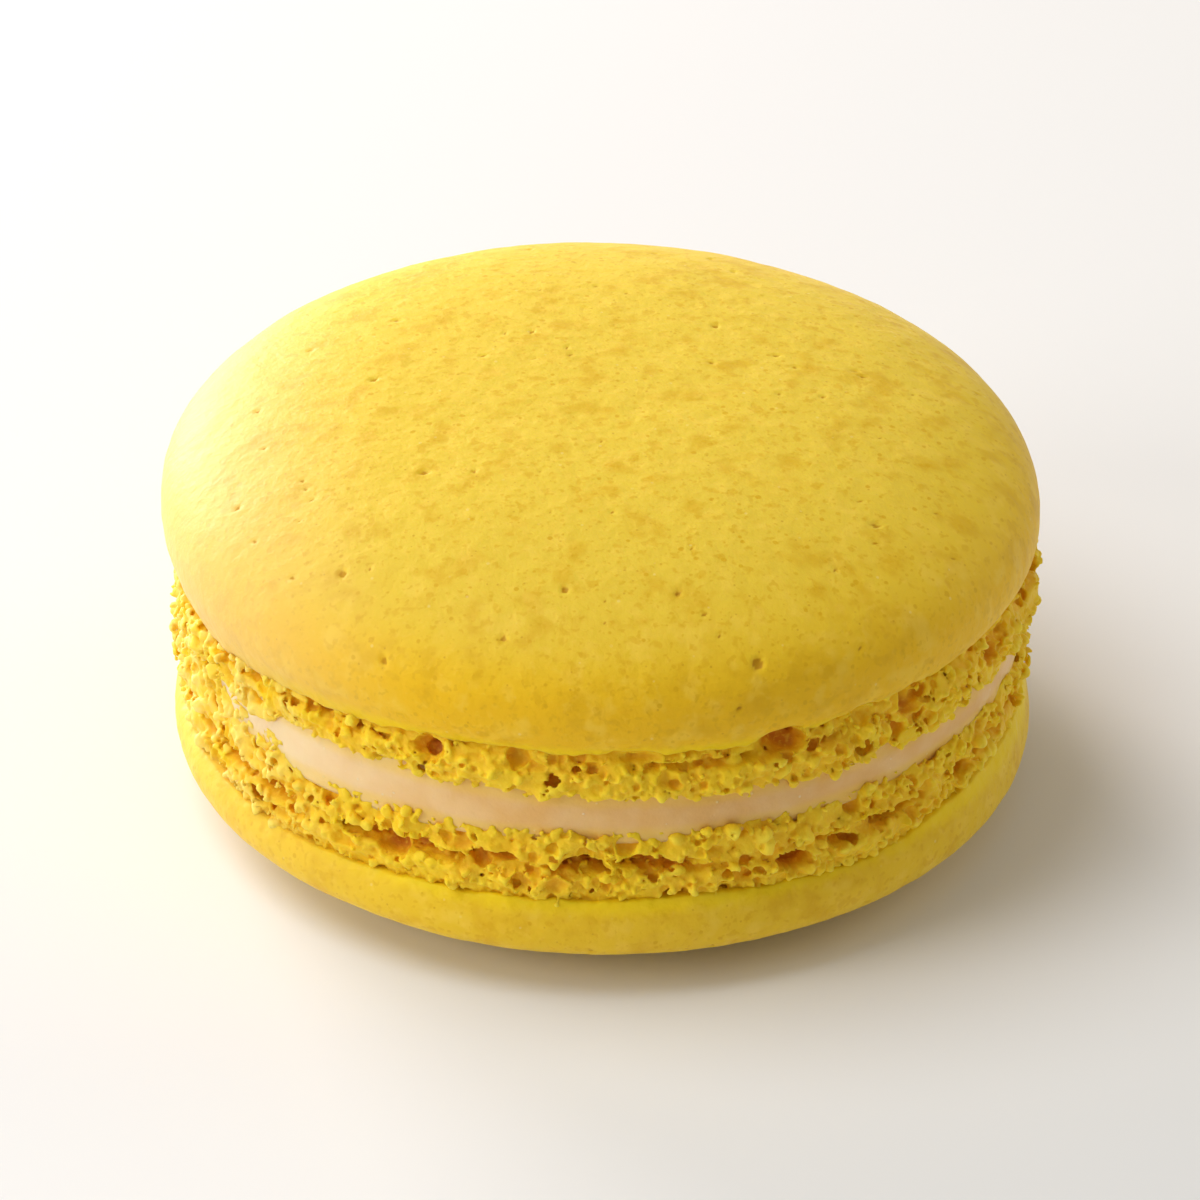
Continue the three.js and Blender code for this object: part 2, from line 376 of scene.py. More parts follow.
class CapForm:
    """The smooth form of one cap, as in the CAD: dome, rounded shoulder and the skin tucked under."""

    def __init__(self, sizes):
        self.sizes = sizes
        self.out = 1 if sizes.crown > sizes.inner else -1
        self.widest = sizes.crown - self.out * sizes.dome_height
        self.skin_edge = self.widest - self.out * sizes.shoulder_height
        turns = np.linspace(math.pi / 2, 0, DOME_STEPS)
        across = sizes.radius * np.cos(turns) ** (2 / sizes.dome_power)
        up = sizes.dome_height * np.sin(turns) ** (2 / sizes.dome_power)
        self.walked = np.concatenate(([0], np.cumsum(np.hypot(np.diff(across), np.diff(up)))))
        self.across = across
        self.up = up
        self.edge_waves = UPPER_EDGE_WAVES if self.out > 0 else LOWER_EDGE_WAVES
        self.hollows = UPPER_HOLLOWS if self.out > 0 else LOWER_HOLLOWS

    def edge_rise(self, sideways):
        """How far the skin's edge lies above its mean height, where sideways is the sine of the angle."""
        rise = tilt_rise(self.sizes.edge_tilt, sideways * self.sizes.radius)
        waves = []
        for at, wide, high in self.edge_waves:
            waves.append(high * MM * math.exp(-(((sideways - at) / wide) ** 2)))
        return rise + sum(waves)

    def dome_point(self, share):
        """Radius and height at a share of the way from the crown to the widest circle, along the surface."""
        at = share * self.walked[-1]
        across = float(np.interp(at, self.walked, self.across))
        up = float(np.interp(at, self.walked, self.up))
        return across, self.widest + self.out * up

    def shoulder_point(self, share):
        drawn_in = (self.sizes.radius - self.sizes.skin_edge_radius) * share**SHOULDER_POWER
        return self.sizes.radius - drawn_in, self.widest - self.out * self.sizes.shoulder_height * share

    def underside_point(self, share):
        start = self.shoulder_point(1)[0]
        height = self.skin_edge + self.out * UNDERSIDE_RISE * min(1, 2 * share)
        return start + (UNDERSIDE_INNER - start) * share, height

    def placed(self, radius, height, direction):
        """Where a point of the round form goes once the cap wobbles, leans and is offset."""
        sizes = self.sizes
        angle = math.atan2(direction.x, -direction.y)
        wobble = math.sin(2 * angle + sizes.seed) + math.sin(3 * angle + 2 * sizes.seed)
        radius *= 1 + sizes.widest_wobble * wobble
        x = radius * direction.x
        beyond = max(0, (height - self.widest) * self.out)
        height += self.out * beyond * sizes.lean * x / sizes.radius
        return Vector((x + sizes.offset, radius * direction.y, height))


def notch_rise(form, direction):
    """How far the skin's edge draws back where a large bubble of the crumb has burst against it."""
    angle = math.degrees(math.atan2(direction.x, -direction.y))
    foot = abs(form.sizes.inner - form.skin_edge)
    notch = 0
    for degrees, level, width, tall, _ in form.hollows:
        off = math.radians(angle - degrees) * form.sizes.foot_radius / (width * MM / 2)
        if abs(off) < 1:
            notch = max(notch, math.sqrt(1 - off * off) * tall * MM / 2 - level * foot)
    return form.out * notch


def cap_blank(form):
    """The closed cap: a square grid drawn onto the dome, its rim extruded down and under, and closed."""
    bm = bmesh.new()
    bmesh.ops.create_grid(bm, x_segments=CAP_GRID, y_segments=CAP_GRID, size=1.0)
    rim = [edge for edge in bm.edges if edge.is_boundary]
    rim_verts = {vert for edge in rim for vert in edge.verts}
    for vert in bm.verts:
        spot = Vector(disc_place(vert.co.x, vert.co.y))
        share = min(1.0, spot.length)
        direction = Vector((*spot.normalized(), 0)) if share > 0 else Vector((1, 0, 0))
        if vert in rim_verts:
            share = 1.0
        vert.co = form.placed(*form.dome_point(share), direction)
    points = [form.shoulder_point((i + 1) / SHOULDER_ROWS) for i in range(SHOULDER_ROWS)]
    points += [form.underside_point((i + 1) / UNDERSIDE_ROWS) for i in range(UNDERSIDE_ROWS)]
    for i, (radius, height) in enumerate(points):
        share = min(1, (i + 1) / SHOULDER_ROWS)
        extruded = bmesh.ops.extrude_edge_only(bm, edges=rim)["geom"]
        rim = [item for item in extruded if isinstance(item, bmesh.types.BMEdge)]
        for vert in {vert for edge in rim for vert in edge.verts}:
            direction = Vector((vert.co.x - form.sizes.offset, vert.co.y, 0)).normalized()
            rise = share**2 * (form.edge_rise(direction.x) + notch_rise(form, direction))
            vert.co = form.placed(radius, height + rise, direction)
    bmesh.ops.contextual_create(bm, geom=rim)
    bmesh.ops.recalc_face_normals(bm, faces=bm.faces)
    return bm


def relief(point, layers, seed):
    """Height of the relief at a point, as a sum of soft noise layers."""
    shift = Vector((seed * 3.1, seed * 1.7, 0))
    return sum(height * noise.noise(point / size + shift) for size, height in layers)


def skin_pores(form, named):
    """The named pores and many small ones, as places from above, radii and depths in metres."""
    chance = random.Random(form.sizes.seed)
    pores = [(x * MM, y * MM, radius * MM, depth * MM) for x, y, radius, depth in named]
    for _ in range(SCATTERED_PORES):
        angle = chance.uniform(0, 2 * math.pi)
        reach = form.sizes.radius * math.sqrt(chance.uniform(0, SCATTERED_AREA))
        radius = chance.uniform(*SCATTERED_RADII) * MM
        pores.append((reach * math.sin(angle), -reach * math.cos(angle), radius, radius))
    return pores


def press_pores(bm, form, pores):
    """Presses each pore into the skin, and stores how deep the skin lies in one."""
    layer = bm.verts.layers.float.new("pore")
    tree = kdtree.KDTree(len(bm.verts))
    for vert in bm.verts:
        tree.insert(vert.co, vert.index)
    tree.balance()
    bm.verts.ensure_lookup_table()
    span = form.walked[-1]
    for x, y, radius, depth in pores:
        reach = math.hypot(x, y)
        share = float(np.interp(reach, form.across, form.walked)) / span
        centre = form.placed(*form.dome_point(share), Vector((x, y, 0)).normalized())
        for _, index, distance in tree.find_range(centre, PORE_SPREAD * radius):
            vert = bm.verts[index]
            fall = 1 / (1 + math.exp(PORE_STEEPNESS * (distance / radius - 1)))
            vert.co -= vert.normal * depth * fall
            vert[layer] = max(vert[layer], fall)


def cap_mesh(name, sizes, named_pores):
    form = CapForm(sizes)
    bm = cap_blank(form)
    bm.normal_update()
    for vert in bm.verts:
        past_edge = (vert.co.z - form.widest) * -form.out / sizes.shoulder_height
        rag = max(0, min(1, past_edge)) ** 2
        vert.co += vert.normal * relief(vert.co, SKIN_RELIEF, sizes.seed)
        vert.co.z += rag * sizes.skin_rag * relief(vert.co, EDGE_STRAY, 0)
    bm.normal_update()
    press_pores(bm, form, skin_pores(form, named_pores))
    for vert in bm.verts:
        vert.co.z = max(vert.co.z, 0)
    return mesh_from(bm, name)


# The feet

CRUMB_VOXEL = 0.085 * MM

# The crumb's density rises from 0 to 1 over this many voxels.
DENSITY_BAND = 3

# Each foot is made in two arcs, in degrees from the front, so that its crumb can be fine.
FOOT_ARCS = {"front": (-112, 112), "back": (112, 248)}
TRIANGLES_PER_DEGREE = 850

# Past its end each arc runs on beneath the next, drawn in over a small angle in radians.
SEAM_OVERLAP = 0.5 * MM
SEAM_TUCK = 0.06 * MM
SEAM_EASE = 0.004

# Bits of crumb with fewer points than this are loose. The margin is the room round what is meshed.
LOOSE_CRUMB_POINTS = 20000
CRUMB_MARGIN = 0.9 * MM

# Grains and roughness fade out behind this depth from the face, and inside the cap, where none shows.
SHOWN_DEPTH = 1.4 * MM
SHOWN_FADE = 0.3 * MM
UNDER_SKIN_SHARES = (-0.04, -0.14)

# The foot's face. Shares run over its height from the skin's edge, at 0, to the cream, at 1.
FACE_SET_BACK = 0.2 * MM
SWELL_SHARES = (-0.15, 0.35)
UNEVEN_SHARES = (-0.1, 0.3)
UNEVEN_SIZE = 2.6 * MM
UNEVEN_HEIGHT = 1.2 * MM

# Its groove comes and goes: the shares from its middle over which it fades, and its patches' size and tones.
GROOVE_SHARES = (0.02, 0.13)
GROOVE_PATCH_SIZE = 2.8 * MM
GROOVE_PATCH_TONES = (0.36, 0.56)

# Its edge on the cream strays up and down, and laps further at the left, by the sine of the angle.
CREAM_EDGE_SIZE = 1.5 * MM
CREAM_EDGE_STRAY = 0.6 * MM
LEFT_LAP_SINES = (-0.68, -0.8)
BULK_ROUNDING = 0.3 * MM

# Painted light and shade of the crumb go by how deep it lies: over this depth, and with this share of the
# groove's own depth.
CREVICE_DEPTH = 1.5 * MM
GROOVE_SHADE = 0.7

# Grains of the crumb: spacing, and the smallest and largest radius as shares of it.
CRUMB_GRAINS = [(0.86 * MM, 0.22, 0.58), (0.43 * MM, 0.3, 0.62)]

# How far the ground between them lies below the bulk's surface, and the size and height of its waves.
GRAIN_SINK = 0.24 * MM
SINK_VARIES = (1.8 * MM, 0.7 * MM)

# How deep in the bulk a grain's middle has to lie, how fast grains further out shrink, how softly they join,
# how far they stand out, and the size and height of their roughness.
GRAIN_FOOTING = 0.15 * MM
GRAIN_SHRINK = 2.2
GRAIN_BLEND = 0.22 * MM
GRAIN_STAND = 0.3 * MM
GRAIN_ROUGHNESS = (0.25 * MM, 0.1 * MM)

# The size of the noise that bends grains and bubbles out of round, and how far it does.
WARP_SIZE = 0.9 * MM
WARP_REACH = 0.5 * MM

# Bubbles of the crumb: spacing, smallest and largest radius as shares of it, and how deep they reach.
CRUMB_BUBBLES = [
    (1.9 * MM, 0.0, 0.34, 1.0 * MM),
    (0.95 * MM, 0.05, 0.46, 0.6 * MM),
    (0.5 * MM, 0.05, 0.48, 0.35 * MM),
]
BUBBLE_CLOSING = 1.5
BUBBLE_BLEND = 0.11 * MM

# The large burst bubbles: degrees from the front, share of the foot's height from the skin's edge,
# width, height and depth in millimetres.
UPPER_HOLLOWS = [
    (-58, 0.9, 2.4, 1.3, 1.0),
    (-37, 0.38, 2.6, 1.2, 0.8),
    (-22, 0.22, 2.2, 1.2, 1.4),
    (-10, 0.15, 1.5, 0.9, 0.7),
    (-4, 0.17, 2.8, 0.9, 0.8),
    (5, 0.07, 3.3, 0.9, 1.2),
    (14, 0.16, 0.7, 0.8, 1.0),
    (10, 0.59, 0.8, 0.7, 0.9),
    (24, 0.11, 2.9, 1.6, 1.7),
    (36, 0.06, 2.1, 0.9, 0.8),
    (44, 0.26, 1.8, 1.8, 1.3),
    (62, 0.4, 1.8, 1.2, 1.0),
]
LOWER_HOLLOWS = [
    (-63, 0.22, 3.2, 1.6, 1.2),
    (-48, 0.23, 3.6, 0.9, 0.9),
    (-39, 0.95, 1.3, 0.7, 0.9),
    (-35, 0.3, 1.4, 0.8, 0.8),
    (-28, 0.42, 2.0, 1.3, 1.8),
    (-18, 0.72, 1.8, 0.9, 1.0),
    (-13, 0.62, 2.2, 0.8, 2.1),
    (-2, 0.6, 2.4, 0.8, 2.2),
    (1, 0.23, 0.8, 0.8, 1.2),
    (5.5, 0.6, 3.2, 1.0, 2.1),
    (15, 0.7, 0.7, 0.6, 0.9),
    (17, 0.33, 0.9, 0.5, 1.3),
    (21, 0.3, 0.8, 0.5, 1.1),
    (26, 0.34, 2.2, 1.3, 2.1),
    (33, 0.44, 1.4, 0.8, 1.4),
    (38, 0.6, 1.9, 0.7, 1.0),
    (56, 0.45, 1.8, 1.1, 1.1),
]

# Those round the back follow a rule: their number, the first degree, the span, and the ranges of their sizes.
BACK_HOLLOWS = 9
BACK_START = 80
BACK_SPAN = 200
BACK_LEVELS = (0.25, 0.65)
BACK_WIDTHS = (1.6, 3.2)
BACK_HEIGHTS = (0.8, 1.4)
BACK_DEPTH = 1.4


def hollows_all_round(named, seed):
    """The hollows that the front has, and others like them at random places round the back."""
    chance = random.Random(seed)
    hollows = list(named)
    for i in range(BACK_HOLLOWS):
        angle = BACK_START + BACK_SPAN * (i + chance.random()) / BACK_HOLLOWS
        level = chance.uniform(*BACK_LEVELS)
        width = chance.uniform(*BACK_WIDTHS)
        hollows.append((angle, level, width, chance.uniform(*BACK_HEIGHTS), BACK_DEPTH))
    return hollows


def rolled_place(graph, sizes):
    """The crumb is meshed as a straight bar, along X and into Y, and then rolled up into a ring.

    Gives the angle from the front of a point of the bar, and its place on the ring.
    """
    along, into, z = graph.axes(graph.node("GeometryNodeInputPosition"))
    angle = along / sizes.foot_radius
    radius = sizes.foot_radius - into
    x = graph.maths("SINE", angle) * radius + sizes.offset
    y = graph.maths("COSINE", angle) * radius * -1
    place = graph.node("ShaderNodeCombineXYZ", inputs={0: x, 1: y, 2: z})
    return angle, place


def bulk_field(graph, form, place):
    """How deep a place lies in the rounded bulk of the foot, on which the grains of the crumb sit.

    Also gives its radius, its share of the foot's height and the depth of the groove there.
    """
    sizes = form.sizes
    height = abs(form.skin_edge - sizes.inner)
    x, y, z = graph.axes(place)
    side = x - sizes.offset
    radius = (side * side + y * y) ** 0.5
    sideways = side / radius
    inner = tilt_rise(sizes.inner_tilt, x) + sizes.inner
    edge = tilt_rise(sizes.edge_tilt, x) + form.skin_edge
    for at, wide, high in form.edge_waves:
        off = (sideways - at) / wide
        edge = edge + graph.maths("POWER", math.e, off * off * -1) * (high * MM)
    share = (z - edge) / (inner - edge)
    rightness = (sideways + 1) * 0.5
    swell = rightness * rightness * sizes.side_bulge + (sizes.foot_radius - sizes.skin_edge_radius)
    waist = graph.maths("MINIMUM", graph.maths("MAXIMUM", share, 0.0), 1.0) ** 3 * sizes.foot_waist
    face = graph.ease(share, *SWELL_SHARES) * swell - waist
    uneven = graph.noise(place, UNEVEN_SIZE, 1.0) - 0.5
    face = face + graph.ease(share, *UNEVEN_SHARES) * uneven * UNEVEN_HEIGHT
    groove = 1 - graph.ease(graph.maths("ABSOLUTE", share - sizes.groove_level), *GROOVE_SHARES)
    patches = graph.ease(graph.noise(place, GROOVE_PATCH_SIZE, 0.0), *GROOVE_PATCH_TONES)
    groove = groove * patches * sizes.groove_depth
    depth = face - groove + (sizes.skin_edge_radius - FACE_SET_BACK) - radius
    stray = (graph.noise(place, CREAM_EDGE_SIZE, 1.0) - 0.5) * CREAM_EDGE_STRAY
    lap = graph.ease(sideways, *LEFT_LAP_SINES) * sizes.left_lap + (sizes.foot_reach - FACE_SET_BACK)
    to_cream = (1 - share) * height + stray + lap
    to_skin = share * height + sizes.foot_root
    bulk = graph.maths("SMOOTH_MIN", depth, to_cream, BULK_ROUNDING)
    return graph.maths("MINIMUM", bulk, to_skin), radius, share, groove


def crumb_field(graph, form, hollows, arc_end):
    """How deep a point lies in the crumb, in metres and negative outside, and its depth in the bulk, which
    sets the crumb's painted light and shade.
    """
    sizes = form.sizes
    angle, place = rolled_place(graph, sizes)
    drift = graph.vector_maths("SUBTRACT", graph.noise(place, WARP_SIZE, 1.0, "Color"), (0.5, 0.5, 0.5))
    bent = graph.vector_maths("ADD", place, graph.scaled(drift, WARP_REACH))
    bulk, radius, share, groove = bulk_field(graph, form, place)

    shown_radius = sizes.foot_radius - SHOWN_DEPTH
    hidden = graph.ease(radius, shown_radius, shown_radius - SHOWN_FADE)
    hidden = graph.maths("MAXIMUM", hidden, graph.ease(share, *UNDER_SKIN_SHARES))
    zone_size, sink_varies = SINK_VARIES
    solid = bulk - GRAIN_SINK - (graph.noise(place, zone_size, 1.0) - 0.5) * sink_varies
    for spacing, smallest, largest in CRUMB_GRAINS:
        distance, tone, centre = graph.cells(bent, spacing)
        buried = graph.maths("MINIMUM", bulk_field(graph, form, centre)[0] - GRAIN_FOOTING, 0.0)
        grain = (tone * (largest - smallest) + smallest - distance) * spacing
        grain = grain + buried * GRAIN_SHRINK - hidden * MM
        solid = graph.maths("SMOOTH_MAX", solid, grain, GRAIN_BLEND)
    for spacing, smallest, largest, reach in CRUMB_BUBBLES:
        distance, tone, _ = graph.cells(bent, spacing)
        wall = (distance - (tone * (largest - smallest) + smallest)) * spacing
        too_deep = graph.maths("MAXIMUM", bulk - reach, 0.0)
        solid = graph.maths("SMOOTH_MIN", solid, wall + too_deep * BUBBLE_CLOSING, BUBBLE_BLEND)
    for hollow in hollows:
        solid = graph.maths("MINIMUM", solid, hollow_field(graph, form, bent, *hollow))
    rough_size, rough_height = GRAIN_ROUGHNESS
    solid = solid + (graph.noise(place, rough_size, 1.0) - 0.5) * (1 - hidden) * rough_height
    solid = graph.maths("MINIMUM", solid, radius - (sizes.foot_radius - sizes.foot_wall))
    tucked = graph.ease(angle, arc_end, arc_end + SEAM_EASE) * SEAM_TUCK
    return solid - tucked, bulk + groove * GROOVE_SHADE


def hollow_field(graph, form, place, degrees, level, width, tall, deep):
    """Distance, in metres, outside one large burst bubble: an ellipsoid laid along the foot's face."""
    sizes = form.sizes
    turn = math.radians(degrees)
    outwards = Vector((math.sin(turn), -math.cos(turn), 0))
    along = Vector((math.cos(turn), math.sin(turn), 0))
    centre = outwards * sizes.foot_radius
    edge = form.skin_edge + form.edge_rise(outwards.x)
    inner = sizes.inner + tilt_rise(sizes.inner_tilt, centre.x)
    centre += Vector((sizes.offset, 0, edge + level * (inner - edge)))
    offset = graph.vector_maths("SUBTRACT", place, centre)
    across = graph.dot(offset, along / (width * MM / 2))
    up = graph.dot(offset, Vector((0, 0, 1)) / (tall * MM / 2))
    into = graph.dot(offset, outwards / (deep * MM))
    return ((across * across + up * up + into * into) ** 0.5 - 1) * (tall * MM / 2)


def crumb_tree(name, form, hollows, arc):
    """Geometry nodes that mesh a foot's crumb, drop its loose bits and store how deep each point lies, for
    its painted light and shade.
    """
    sizes = form.sizes
    tree = bpy.data.node_groups.new(name, "GeometryNodeTree")
    tree.interface.new_socket("Geometry", in_out="OUTPUT", socket_type="NodeSocketGeometry")
    graph = Graph(tree)
    start, end = (math.radians(degrees) for degrees in arc)
    solid, depth = crumb_field(graph, form, hollows, end)
    skin_end = form.skin_edge + form.out * (sizes.foot_root + CRUMB_MARGIN)
    cream_end = sizes.inner - form.out * (abs(tilt_rise(sizes.inner_tilt, sizes.foot_radius)) + CRUMB_MARGIN)
    low = (start * sizes.foot_radius, -sizes.side_bulge - CRUMB_MARGIN, min(skin_end, cream_end))
    far_end = end * sizes.foot_radius + SEAM_OVERLAP
    high = (far_end, sizes.foot_wall + 2 * CRUMB_VOXEL, max(skin_end, cream_end))
    counts = [round((top - bottom) / CRUMB_VOXEL) for bottom, top in zip(low, high)]
    density = graph.node("ShaderNodeClamp", inputs={0: solid / (DENSITY_BAND * CRUMB_VOXEL) + 0.5})
    volume = graph.node(
        "GeometryNodeVolumeCube",
        inputs={
            "Density": density,
            "Background": 0.0,
            "Min": low,
            "Max": high,
            "Resolution X": counts[0],
            "Resolution Y": counts[1],
            "Resolution Z": counts[2],
        },
    )
    mesh = graph.node(
        "GeometryNodeVolumeToMesh",
        {"resolution_mode": "GRID"},
        {"Volume": volume, "Threshold": 0.5, "Adaptivity": 0.0},
    )
    part = graph.node("GeometryNodeInputMeshIsland", output="Island Index")
    part_size = graph.node(
        "GeometryNodeAccumulateField", {"data_type": "FLOAT"}, {0: 1.0, 1: part}, "Total"
    )
    loose = graph.maths("LESS_THAN", part_size, LOOSE_CRUMB_POINTS)
    cleared = graph.node(
        "GeometryNodeDeleteGeometry", {"domain": "POINT"}, {"Geometry": mesh, "Selection": loose}
    )
    stored = graph.node(
        "GeometryNodeStoreNamedAttribute",
        {"data_type": "FLOAT", "domain": "POINT"},
        {"Geometry": cleared, "Name": "crevice", "Value": (depth + GRAIN_STAND) / CREVICE_DEPTH},
    )
    _, ring_place = rolled_place(graph, sizes)
    rolled = graph.node("GeometryNodeSetPosition", inputs={"Geometry": stored, "Position": ring_place})
    output = tree.nodes.new("NodeGroupOutput")
    tree.links.new(rolled.socket, output.inputs[0])
    return tree


def baked_mesh(piece):
    """The piece's mesh with its modifiers applied."""
    depsgraph = bpy.context.evaluated_depsgraph_get()
    return bpy.data.meshes.new_from_object(piece.evaluated_get(depsgraph))


def foot_mesh(name, sizes, hollows, arc):
    """The crumb of one arc of a foot: grown in full, and thinned where it is smooth."""
    tree = crumb_tree(name, CapForm(sizes), hollows, arc)
    carrier = new_object(name, bpy.data.meshes.new(name))
    carrier.modifiers.new("Crumb", "NODES").node_group = tree
    grown = baked_mesh(carrier)
    triangles = sum(len(polygon.vertices) - 2 for polygon in grown.polygons)
    carrier.modifiers.clear()
    carrier.data = grown
    thin = carrier.modifiers.new("Thin", "DECIMATE")
    thin.ratio = min(1.0, TRIANGLES_PER_DEGREE * (arc[1] - arc[0]) / triangles)
    mesh = baked_mesh(carrier)
    bpy.data.objects.remove(carrier)
    mesh.name = name
    return mesh


# The cream

CREAM_STEPS = 720
CREAM_ROWS = 20
CREAM_CORE = 18 * MM
CREAM_RELIEF = [(5 * MM, 0.10 * MM), (1.6 * MM, 0.05 * MM), (0.5 * MM, 0.012 * MM)]
CREAM_SEED = 5

CREAM_STRETCH = 1.6
MERGE_DISTANCE = 0.001 * MM

# The power of the sine that keeps the recess to the far left.
RECESS_POWER = 6


def cream_mesh(name, cream, lower, upper):
    """A spun, closed disc that reaches into both crumbs and tilts with the faces on it."""
    low = lower.inner - cream.overlap
    high = upper.inner + cream.overlap
    bm = bmesh.new()
    profile = [Vector((0, 0, low)), Vector((CREAM_CORE, 0, low))]
    for i in range(CREAM_ROWS + 1):
        share = i / CREAM_ROWS
        swell = cream.bulge * math.sin(math.pi * share)
        profile.append(Vector((cream.radius + swell, 0, low + (high - low) * share)))
    profile += [Vector((CREAM_CORE, 0, high)), Vector((0, 0, high))]
    verts = [bm.verts.new(point) for point in profile]
    edges = [bm.edges.new(pair) for pair in zip(verts, verts[1:])]
    bmesh.ops.spin(
        bm,
        geom=verts + edges,
        cent=(0, 0, 0),
        axis=(0, 0, 1),
        angle=math.tau,
        steps=CREAM_STEPS,
        use_merge=True,
    )
    bmesh.ops.remove_doubles(bm, verts=bm.verts, dist=MERGE_DISTANCE)
    for vert in bm.verts:
        radius = math.hypot(vert.co.x, vert.co.y)
        if radius < CREAM_CORE / 2:
            continue
        angle = math.atan2(vert.co.x, -vert.co.y)
        share = (vert.co.z - low) / (high - low)
        leftness = max(0, -math.sin(angle)) ** RECESS_POWER
        wanted = radius + cream.side_bulge * math.sin(angle) ** 2 - cream.left_recess * leftness
        spot = Vector((vert.co.x, vert.co.y, CREAM_STRETCH * vert.co.z))
        wanted += relief(spot, CREAM_RELIEF, CREAM_SEED)
        vert.co.x *= wanted / radius
        vert.co.y *= wanted / radius
        tilt = lower.inner_tilt + (upper.inner_tilt - lower.inner_tilt) * share
        vert.co.z += tilt_rise(tilt, vert.co.x)
    bmesh.ops.recalc_face_normals(bm, faces=bm.faces)
    return mesh_from(bm, name)


# The finishes


def new_material(name):
    """A material with an empty tree, its graph and its coordinates in millimetres."""
    material = bpy.data.materials.new(name)
    material.use_nodes = True
    material.node_tree.nodes.clear()
    graph = Graph(material.node_tree)
    place = graph.node("ShaderNodeTexCoord", output="Object")
    return material, graph, graph.scaled(place, 1 / MM)


def finish_shader(graph, base, roughness, height, bump, fixed):
    """The surface: what varies goes to colour, roughness and bump, and the rest is set once."""
    normal = graph.node("ShaderNodeBump", inputs={"Strength": bump, "Distance": MM, "Height": height})
    inputs = {"Base Color": base, "Roughness": roughness, "Normal": normal, **fixed}
    shader = graph.node("ShaderNodeBsdfPrincipled", {"subsurface_method": "RANDOM_WALK"}, inputs)
    graph.node("ShaderNodeOutputMaterial", inputs={"Surface": shader})


SOFT_SHINE = {
    "Subsurface Weight": 0.35,
    "Subsurface Radius": (1.0, 0.8, 0.3),
    "Subsurface Scale": 0.9 * MM,
    "Specular IOR Level": 0.35,
    "IOR": 1.45,
}
SKIN_SHINE = {**SOFT_SHINE, "Specular IOR Level": 0.3, "Sheen Weight": 0.08, "Sheen Roughness": 0.4}
CRUMB_SHINE = {**SOFT_SHINE, "Subsurface Scale": 0.6 * MM, "Sheen Weight": 0.06}

# In the materials lengths are in millimetres. The heights over which the paler crown comes in, painted light
# for the light that falls on the upper cap's top.
CROWN_PAINTED_LIGHT_HEIGHTS = (18.5, 22.2)

# Painted shade, a deeper yellow on the upper cap's side wall: its middle above the skin's edge, how it fades,
# and its strength.
WALL_SHADE_ABOVE_EDGE = 1
WALL_SHADE_FADE = (4.5, 1.5)
WALL_SHADE_STRENGTH = 0.95

# Mottling of the skin: the noise's size and detail, the tones over which it comes in, strength and colour.
SKIN_MOTTLING = {
    "blotch": (1.9, 3.0, (0.5, 0.3), 0.6, "gold"),
    "cloud": (1.4, 2.0, (0.5, 0.7), 0.45, "pale"),
    "fine": (0.5, 2.0, (0.58, 0.76), 0.3, "pale"),
    "fleck": (0.8, 2.0, (0.58, 0.7), 0.5, "gold"),
    "small fleck": (0.36, 1.0, (0.6, 0.72), 0.5, "gold"),
}

# Specks: their spacing, the shares of it over which one fades, and the tones over which they come in.
SKIN_PITS = (0.62, (0.13, 0.07), (0.4, 0.7))
SKIN_SUGARS = (0.93, (0.12, 0.06), (0.5, 0.8))
# The cream's sparkles are painted glints.
CREAM_SPARKLES = (0.6, (0.16, 0.08), (0.6, 0.8))

# A painted highlight turns the skin, crumb and cream paler at the left, where the strongest light falls, over
# these x. The skin gets it mostly above these heights.
PAINTED_HIGHLIGHT_SKIN_X = (-11, -25)
PAINTED_HIGHLIGHT_SKIN_LEAN = 0.12
PAINTED_HIGHLIGHT_SKIN_HEIGHTS = (9, 14)
PAINTED_HIGHLIGHT_CRUMB_X = (-12, -20)
PAINTED_HIGHLIGHT_CREAM_X = (-4, -18)

# The clear yellow band along the skin's edges: how it fades above and below them, and towards the left.
EDGE_FADE = (1.2, 0.4)
EDGE_FADE_X = (-21, -8)

# The few orange freckles at the left of the upper cap: their places, and how each fades.
FRECKLES = [(-21.6, 2.6, 18.4), (-22.6, -3.0, 15.9), (-22.5, 1.5, 17.6)]
FRECKLE_FADE = (0.32 * 1.6, 0.32)


